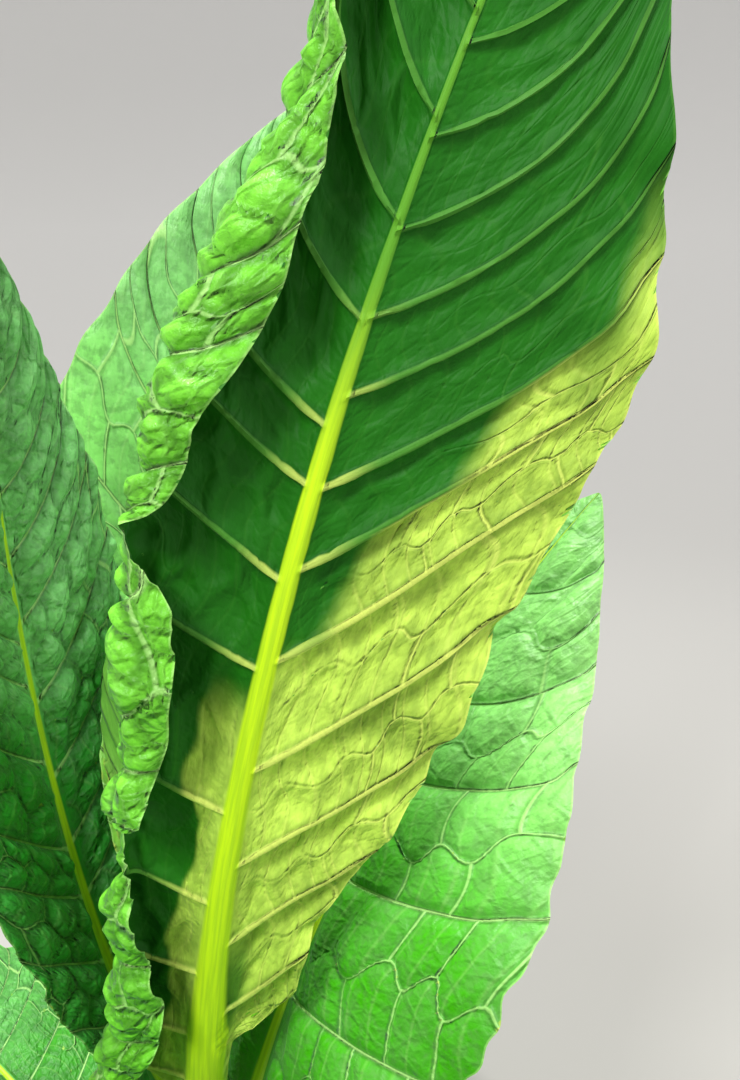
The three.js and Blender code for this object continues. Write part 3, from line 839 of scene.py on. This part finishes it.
def shaded_blade(tree, at, look, fresh, deep, upper, crumple):
    """The green of the blade, darker in dull patches, and darker with painted shade in creases and hollows,
    along the veins and, above, along the net.
    """
    # The colour of the painted shade, a darker deep green.
    shade = (*mixed(deep, (0.0, 0.04, 0.0), 0.7), 1)
    # Fresh to deep by the tone mask: painted sunlight and painted shade on the front leaf, a painted sky
    # sheen on the right leaf's tip.
    blade = covered(tree, at["depth"], (*fresh, 1), (*deep, 1))
    blade = covered(tree, ranged(tree, at["patch"], 0.38, 0.7, 0.0, 0.5), blade, shade)
    # Painted shade in the creases between the blisters.
    edge = product(tree, at["blister_edge"], crumpled(look["blister_shade"], crumple))
    blade = covered(tree, edge, blade, shade)
    if upper:
        # Painted shade in the small creases and, next line, along the net's grooves.
        blade = covered(tree, product(tree, at["small_crease"], 0.22 * crumple), blade, shade)
        blade = covered(tree, product(tree, at["net"], 0.33), blade, shade)
    # Painted shade beside the veins.
    blade = covered(tree, fading(tree, at["vein"], 1.2, 3.4, 0.3), blade, shade)
    # Painted shade in the hollows of the wrinkles, weaker in the deep green below.
    hollow_painted_shade = product(tree, fading(tree, at["wrinkle"], 0.36, 0.56, look["hollow_shade"]), at["plain"])
    return covered(tree, hollow_painted_shade, blade, shade)


def leaf_colour(tree, at, look, blade, settings, upper):
    """The blade with its pale lines: the rungs, the net, the side veins, the margin and the midrib. The pale
    margin is partly the blade's own paler edge and partly a painted rim highlight, and below, the veins
    beside the midrib near the foot keep a painted sunlit colour.
    """
    vein = (*settings.vein, 1)
    pale = (*settings.vein_upper, 1)
    if not upper:
        # Underside veins turn green by the tone mask, which on the front leaf is painted shade.
        pale = covered(tree, at["depth"], vein, (*settings.vein_tip_and_painted_shade, 1))
    # The pale lines fade in the deep green, which on the front leaf is painted shade.
    rung_share = ranged(tree, at["depth"], 0.0, 1.0, *look["rung_pale"])
    blade = covered(tree, product(tree, at["rungs"], rung_share), blade, pale)
    net_share = ranged(tree, at["depth"], 0.0, 1.0, *look["net_pale"])
    blade = covered(tree, ranged(tree, at["net"], 0.65, 0.95, 0.0, net_share), blade, pale)
    if not upper:
        # Painted sunlight: near the foot, the veins beside the midrib keep the sunlit vein colour.
        beside = product(tree, fading(tree, at["rib"], 1.0, 7.0, 0.8), at["near"])
        pale = covered(tree, beside, pale, vein)
    blade = covered(tree, fading(tree, at["vein"], 0.4, look["vein_edge"], 0.8), blade, pale)
    # A pale rim along the margin, partly its own paler edge and partly a painted rim highlight.
    blade = covered(tree, fading(tree, at["margin"], 0.5, 1.4, 0.4), blade, pale)
    midrib = fading(tree, at["rib"], *look["rib_edge"], 1.0)
    return covered(tree, midrib, blade, midrib_colour(tree, at, settings))


def leaf_relief(tree, at, look, crumple):
    """The bumps too small for the mesh. Grooves above are keels below."""
    rough = product(tree, at["off_rib"], at["plain"])
    uneven = add_node(
        tree, "ShaderNodeMix", {0: rough, 2: 0.5, 3: at["wrinkle"]}, data_type="FLOAT").outputs[0]
    bump = raised(tree, uneven, crumpled(look["wrinkle_relief"], crumple))
    bump = raised(tree, at["small_crease"], crumpled(look["crease_relief"], crumple), bump)
    bump = raised(tree, product(tree, at["rungs"], at["plain"]), look["rung_relief"], bump)
    bump = raised(tree, product(tree, at["net"], at["plain"]), look["net_relief"], bump)
    on_rib = product(tree, fading(tree, at["rib"], 0.8, 1.1, 1.0), at["streak"])
    bump = raised(tree, on_rib, 0.0004, bump)
    groove = product(tree, fading(tree, at["vein"], 0.0, 1.5, 1.0), at["off_rib"])
    bump = raised(tree, groove, look["vein_relief"], bump)
    return raised(tree, at["blister_edge"], crumpled(look["blister_relief"], crumple), bump)


def leaf_material(name, fresh, deep, settings, upper, leaf):
    """Living leaf blade, waxy and faintly downy. Above it is satin, with patches of 45 mm that are duller
    and darker, creases and hollows darker with painted shade, and pale lines along grooves over the veins and
    the net. Below it is matter, with pale keels along the veins and the net, and wrinkles of 5 mm across
    them.
    On the front leaf the fresh and the deep green are painted sunlight and painted shade."""
    material, tree = new_material(name)
    look = ABOVE if upper else BELOW
    at = leaf_patterns(tree, look, upper, leaf)
    blade = shaded_blade(tree, at, look, fresh, deep, upper, leaf["crumple"])
    shader = add_node(
        tree, "ShaderNodeBsdfPrincipled",
        {"Base Color": leaf_colour(tree, at, look, blade, settings, upper),
         "Roughness": ranged(tree, at["patch"], 0.3, 0.7, *look["roughness"]),
         "Normal": leaf_relief(tree, at, look, leaf["crumple"]), "IOR": 1.4,
         "Specular IOR Level": look["specular"], "Sheen Weight": 0.05, "Sheen Roughness": 0.4,
         "Sheen Tint": (0.8, 0.92, 1.0, 1)})
    add_node(tree, "ShaderNodeOutputMaterial", {"Surface": shader.outputs[0]})
    return material


def leaf_materials(kind, upper, upper_deep, settings, leaf, under=None):
    """The upper side's and the underside's material of one kind of leaf. The underside has the common
    colours, unless a fresh and a deep one are given."""
    under, under_deep = under or (settings.under, mixed(settings.under, settings.lower_upper, 0.4))
    return [
        leaf_material("leaf skin, upper side, " + kind, upper, upper_deep, settings, True, leaf),
        leaf_material("leaf skin, underside, " + kind, under, under_deep, settings, False, leaf),
    ]


def stem_radius(z):
    """Half thickness of the stem: an even taper, plus a flare that fades from the ground, less a taper at the
    growing tip."""
    flare = (STEM_FLARE_RADIUS - STEM_RADIUS_LOW) * np.exp(-z / STEM_FLARE_REACH)
    body = STEM_RADIUS_LOW + (STEM_RADIUS_HIGH - STEM_RADIUS_LOW) * z / STEM_HEIGHT
    tip = ease((z / STEM_HEIGHT - STEM_TIP_START) / (1 - STEM_TIP_START))
    return flare + body - (STEM_RADIUS_HIGH - STEM_TIP_RADIUS) * tip


def turned(angle):
    """An angle brought to between minus pi and pi."""
    return (angle + pi) % (2 * pi) - pi


def stem_surface(settings, knees):
    """The stem's skin: rings whose radius is the stem's half thickness, plus a knee under each leaf, two
    ridges that run down from each leaf's edges, and shallow lengthwise ribs."""
    z = STEM_HEIGHT * np.linspace(0, 1, STEM_RINGS)[:, None]
    a = 2 * pi * np.arange(STEM_SIDES)[None, :] / STEM_SIDES
    radius = stem_radius(z) + 0.18 * np.sin(19 * a + 2.5 * np.sin(z / 90)) + 0.1 * np.sin(31 * a - z / 37)
    for height, azimuth in knees:
        size = settings.knee / MM * np.minimum(1, stem_radius(height) / STEM_RADIUS_HIGH) ** 2
        away = turned(a - azimuth)
        below = height - 3 - z
        radius = radius + size * np.exp(-((below / 8) ** 2)) * (0.45 + 0.55 * np.cos(away))
        run = ease((below + 6) / 12) * np.exp(-np.maximum(below, 0) / 45)
        radius = radius + 0.5 * size * run * np.exp(-(((np.abs(away) - 0.62) / 0.13) ** 2))
    sway = STEM_SWAY * np.sin(2 * pi * z / STEM_HEIGHT) * ease(z / STEM_SWAY_REACH)
    radius = np.where(z <= 0, STEM_FLARE_RADIUS, radius)
    return np.stack([sway + radius * np.cos(a), radius * np.sin(a), z + 0 * a], -1)


def make_stem(settings, knees, material):
    """A closed stem with a flat cut below and a low dome on top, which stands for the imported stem."""
    rings = stem_surface(settings, knees)
    count = rings.shape[0] * STEM_SIDES
    index = np.arange(count).reshape(-1, STEM_SIDES)
    wrapped = np.concatenate([index, index[:, :1]], 1)
    quads = grid_quads(wrapped)
    foot = np.stack([index[0], np.full(STEM_SIDES, count), np.roll(index[0], -1)], -1)
    dome = np.stack([np.roll(index[-1], -1), np.full(STEM_SIDES, count + 1), index[-1]], -1)
    ends = np.array([[0, 0, 0], [0, 0, STEM_HEIGHT + STEM_DOME]])
    points = np.concatenate([rings.reshape(-1, 3), ends]) * MM
    faces = np.concatenate([quads.ravel(), foot[:, ::-1].ravel(), dome[:, ::-1].ravel()])
    sizes = np.concatenate([np.full(len(quads), 4), np.full(2 * STEM_SIDES, 3)])
    around = np.arctan2(points[:, 1], points[:, 0]) * STEM_RADIUS_LOW * MM
    uv = np.stack([around, points[:, 2]], -1)
    piece = make_piece("fine_stem", points, faces, sizes, 0 * sizes, {}, {"surface": uv}, [material])
    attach(piece, "root")
    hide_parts("stem")
    return piece


def stem_material(settings):
    """Green stalk, smooth and juicy: satin yellow-green, duller toward the ground, streaked lengthwise by
    fibres about 1.5 mm wide, with a fine down that shows as a soft sheen."""
    material, tree = new_material("green stalk")
    place = add_node(tree, "ShaderNodeTexCoord").outputs["Object"]
    height = add_node(tree, "ShaderNodeSeparateXYZ", {0: place}).outputs["Z"]
    fibre = noise(tree, squeezed(tree, place, (1, 1, 0.06)), 0.0015, 3)
    age = ranged(tree, height, 0.0, 0.3, 0.9, 0.0)
    skin = covered(tree, age, (*settings.skin, 1), (*settings.skin_old, 1))
    pale = (*mixed(settings.skin, (0.75, 0.85, 0.4), 0.35), 1)
    colour = covered(tree, ranged(tree, fibre, 0.3, 0.7, 0.0, 0.6), skin, pale)
    bump = add_node(tree, "ShaderNodeBump", {"Height": fibre, "Distance": 0.0005, "Strength": 0.5})
    shader = add_node(
        tree, "ShaderNodeBsdfPrincipled",
        {"Base Color": colour, "Roughness": 0.5, "Normal": bump.outputs[0], "IOR": 1.42,
         "Sheen Weight": 0.2, "Sheen Roughness": 0.4})
    add_node(tree, "ShaderNodeOutputMaterial", {"Surface": shader.outputs[0]})
    return material


def lower_leaf(order):
    """A leaf of the spiral below the tall ones: each is lower, shorter and lies flatter than the one before,
    and some sag or turn a few degrees away from the spiral."""
    step = LOWER_STEPS[order]
    azimuth = SPIRAL_AZIMUTH - DIVERGENCE * step + LOWER_TURN[order]
    length = LOWER_LENGTH - LOWER_SHRINK * step
    random = np.random.default_rng(500 + step)
    return {
        **COMMON, "height": SPIRAL_HEIGHT - INTERNODE * step, "azimuth": (azimuth + 180) % 360 - 180,
        "length": length, "width": LOWER_SLIMNESS * length,
        "rise0": LOWER_RISE_FOOT - LOWER_FOOT_DROP * step - LOWER_SAG[order],
        "rise1": LOWER_RISE_TIP - LOWER_TIP_DROP * step - LOWER_SAG[order],
        "phase": LOWER_PHASE_STEP * step, "seed": 60 + step, "tone": random.random(),
    }


def young_leaf(young, order):
    """One of the small leaves round the growing tip."""
    return {
        **COMMON, **young, "foot": 3, "width": YOUNG_SLIMNESS * young["length"], "foldBase": 6, "droop": -4,
        "ruffle": 3, "waves": 3, "rows": 120, "columns": (20, 20), "seed": 80 + order,
    }


def stem_knees():
    """Height and azimuth, in radians, of every leaf's foot."""
    leaves = [FRONT_LEAF, BACK_LEAF, LEFT_LEAF, RIGHT_LEAF]
    leaves += [lower_leaf(order) for order in range(len(LOWER_STEPS))]
    leaves += [young_leaf(young, order) for order, young in enumerate(YOUNG_LEAVES)]
    return [(leaf["height"], radians(leaf["azimuth"])) for leaf in leaves]


def build_upper_leaf(settings, kind, leaf, under=None):
    """One of the four upper leaves, whose colours are the settings under its name."""
    upper = getattr(settings, kind + "_upper")
    upper_deep = getattr(settings, kind + "_upper_deep")
    make_leaf("leaf_" + kind, leaf, settings, leaf_materials(kind, upper, upper_deep, settings, leaf, under))
    return {"FINISHED"}


class TOBACCO_OT_stem(Operator):
    """Build the stem"""

    bl_idname = "tobacco.stem"
    bl_label = "Stem"

    def execute(self, context):
        settings = context.scene.tobacco_stem
        make_stem(settings, stem_knees(), stem_material(settings))
        return {"FINISHED"}


class TOBACCO_OT_front_leaf(Operator):
    """Build the tall front leaf with its rolled margin"""

    bl_idname = "tobacco.front_leaf"
    bl_label = "Front leaf"

    def execute(self, context):
        settings = context.scene.tobacco_leaves
        # Painted sunlight and painted shade of the front leaf's underside.
        under = (settings.front_under_painted_sunlight, settings.front_under_painted_shade)
        return build_upper_leaf(settings, "front", FRONT_LEAF, under)


class TOBACCO_OT_back_leaf(Operator):
    """Build the tall back leaf"""

    bl_idname = "tobacco.back_leaf"
    bl_label = "Back leaf"

    def execute(self, context):
        return build_upper_leaf(context.scene.tobacco_leaves, "back", BACK_LEAF)


class TOBACCO_OT_left_leaf(Operator):
    """Build the puckered left leaf"""

    bl_idname = "tobacco.left_leaf"
    bl_label = "Left leaf"

    def execute(self, context):
        return build_upper_leaf(context.scene.tobacco_leaves, "left", LEFT_LEAF)


class TOBACCO_OT_right_leaf(Operator):
    """Build the glossy right leaf"""

    bl_idname = "tobacco.right_leaf"
    bl_label = "Right leaf"

    def execute(self, context):
        return build_upper_leaf(context.scene.tobacco_leaves, "right", RIGHT_LEAF)


class TOBACCO_OT_lower_leaves(Operator):
    """Build the spiral of lower leaves"""

    bl_idname = "tobacco.lower_leaves"
    bl_label = "Lower leaves"

    def execute(self, context):
        settings = context.scene.tobacco_leaves
        for order in range(len(LOWER_STEPS)):
            leaf = lower_leaf(order)
            upper = mixed(settings.lower_upper, settings.right_upper, leaf["tone"] * 0.6)
            upper_deep = mixed(upper, settings.left_upper_deep, 0.4)
            materials = leaf_materials(f"lower {order + 1}", upper, upper_deep, settings, COMMON)
            make_leaf(f"leaf_lower_{order + 1}", leaf, settings, materials)
        return {"FINISHED"}


class TOBACCO_OT_young_leaves(Operator):
    """Build the young leaves round the growing tip"""

    bl_idname = "tobacco.young_leaves"
    bl_label = "Young leaves"

    def execute(self, context):
        settings = context.scene.tobacco_leaves
        materials = leaf_materials("young", settings.young_upper, settings.back_upper, settings, BACK_LEAF)
        for order, young in enumerate(YOUNG_LEAVES):
            make_leaf(f"leaf_young_{order + 1}", young_leaf(young, order), settings, materials)
        return {"FINISHED"}


def add_light(name, place, target, size, power):
    """A square soft light that faces a target."""
    light = bpy.data.lights.new(name, "AREA")
    light.size = size
    light.energy = power
    lamp = bpy.data.objects.new(name, light)
    lamp.location = place
    aim = np.array(target) - np.array(place)
    heading = np.arctan2(aim[1], aim[0])
    tilt = np.arctan2(np.hypot(aim[0], aim[1]), -aim[2])
    lamp.rotation_euler = (tilt, 0, heading - pi / 2)
    bpy.context.scene.collection.objects.link(lamp)


def floor_material(settings):
    """Matt paint, painted a little greyer within 1 m of the plant, where the lamps fall strongest, and paler
    out to
    6 m, where less light reaches, so that the paint evens out the light.
    """
    material, tree = new_material("matt painted floor")
    place = add_node(tree, "ShaderNodeTexCoord").outputs["Object"]
    away = add_node(tree, "ShaderNodeVectorMath", {0: place}, operation="LENGTH").outputs["Value"]
    share = add_node(tree, "ShaderNodeMapRange", {0: away, 1: 1.0, 2: 6.0}).outputs[0]
    paint = covered(tree, share, (*settings.floor_near_painted_darker, 1), (*settings.floor, 1))
    shader = add_node(tree, "ShaderNodeBsdfPrincipled", {"Base Color": paint, "Roughness": 0.9})
    add_node(tree, "ShaderNodeOutputMaterial", {"Surface": shader.outputs[0]})
    return material


def make_floor(settings):
    """A round floor, flat within 3 m, whose far part rises as (r - 3)^2 / 9 m like a shallow bowl: rings of
    points at growing radii, joined by quads."""
    radius = np.linspace(0.002, 1, FLOOR_RINGS)[:, None] * FLOOR_RADIUS
    a = 2 * pi * np.arange(FLOOR_SIDES + 1)[None, :] / FLOOR_SIDES
    height = np.maximum(radius - FLOOR_FLAT, 0) ** 2 / 9
    points = np.stack([radius * np.cos(a), radius * np.sin(a), height + 0 * a], -1)
    quads = grid_quads(np.arange(points[..., 0].size).reshape(radius.size, -1))[:, ::-1]
    sizes = np.full(len(quads), 4)
    points = points.reshape(-1, 3)
    layers = {"surface": points[:, :2]}
    materials = [floor_material(settings)]
    floor = make_piece("floor", points, quads.ravel(), sizes, 0 * sizes, {}, layers, materials)


class TOBACCO_OT_studio(Operator):
    """Build the floor, the lights and the camera"""

    bl_idname = "tobacco.studio"
    bl_label = "Studio"

    def execute(self, context):
        settings = context.scene.tobacco_studio
        make_floor(settings)
        add_light("top light", (-0.5, 0.7, 3.6), (0, 0, 0.8), 0.5, settings.top_power)
        add_light("key light", (-1.0, -2.0, 3.0), (0, 0, 0.9), 0.8, settings.key_power)
        add_light("side light", (1.8, -0.6, 2.0), (0, 0, 0.9), 1.0, settings.side_power)
        world = bpy.data.worlds.new("pale surround")
        world.use_nodes = True
        world.node_tree.nodes["Background"].inputs[0].default_value = (0.97, 0.98, 1.0, 1)
        world.node_tree.nodes["Background"].inputs[1].default_value = settings.sky
        context.scene.world = world
        context.scene.view_settings.view_transform = "Standard"
        camera = bpy.data.cameras.new("camera")
        camera.lens = settings.lens
        camera.sensor_width = 36
        viewer = bpy.data.objects.new("camera", camera)
        viewer.location = (0.112, -0.54, 1.1)
        viewer.rotation_euler = (radians(71.35), 0, 0)
        context.scene.collection.objects.link(viewer)
        context.scene.camera = viewer
        return {"FINISHED"}


class TOBACCO_PT_panel(Panel):
    """Lists the operators and the settings"""

    bl_idname = "TOBACCO_PT_panel"
    bl_label = "Tobacco plant"
    bl_space_type = "VIEW_3D"
    bl_region_type = "UI"
    bl_category = "Tobacco plant"

    def draw(self, context):
        for operator in OPERATORS:
            self.layout.operator(operator.bl_idname)
        for group in ("tobacco_leaves", "tobacco_stem", "tobacco_studio"):
            settings = getattr(context.scene, group)
            for name in settings.bl_rna.properties.keys():
                if name not in ("rna_type", "name"):
                    self.layout.prop(settings, name)


OPERATORS = (
    TOBACCO_OT_stem, TOBACCO_OT_front_leaf, TOBACCO_OT_back_leaf, TOBACCO_OT_left_leaf, TOBACCO_OT_right_leaf,
    TOBACCO_OT_lower_leaves, TOBACCO_OT_young_leaves, TOBACCO_OT_studio,
)
GROUPS = (TobaccoLeafSettings, TobaccoStemSettings, TobaccoStudioSettings)


def register():
    """Makes the classes known and hangs the settings on the scene."""
    for item in GROUPS + OPERATORS + (TOBACCO_PT_panel,):
        bpy.utils.register_class(item)
    bpy.types.Scene.tobacco_leaves = PointerProperty(type=TobaccoLeafSettings)
    bpy.types.Scene.tobacco_stem = PointerProperty(type=TobaccoStemSettings)
    bpy.types.Scene.tobacco_studio = PointerProperty(type=TobaccoStudioSettings)


def unregister():
    """Takes the settings and the classes away again."""
    del bpy.types.Scene.tobacco_studio
    del bpy.types.Scene.tobacco_stem
    del bpy.types.Scene.tobacco_leaves
    for item in reversed(GROUPS + OPERATORS + (TOBACCO_PT_panel,)):
        bpy.utils.unregister_class(item)


def main():
    """Builds the plant and its studio."""
    register()
    bpy.ops.tobacco.stem()
    bpy.ops.tobacco.front_leaf()
    bpy.ops.tobacco.back_leaf()
    bpy.ops.tobacco.left_leaf()
    bpy.ops.tobacco.right_leaf()
    bpy.ops.tobacco.lower_leaves()
    bpy.ops.tobacco.young_leaves()
    bpy.ops.tobacco.studio()


if __name__ == "__main__":
    main()
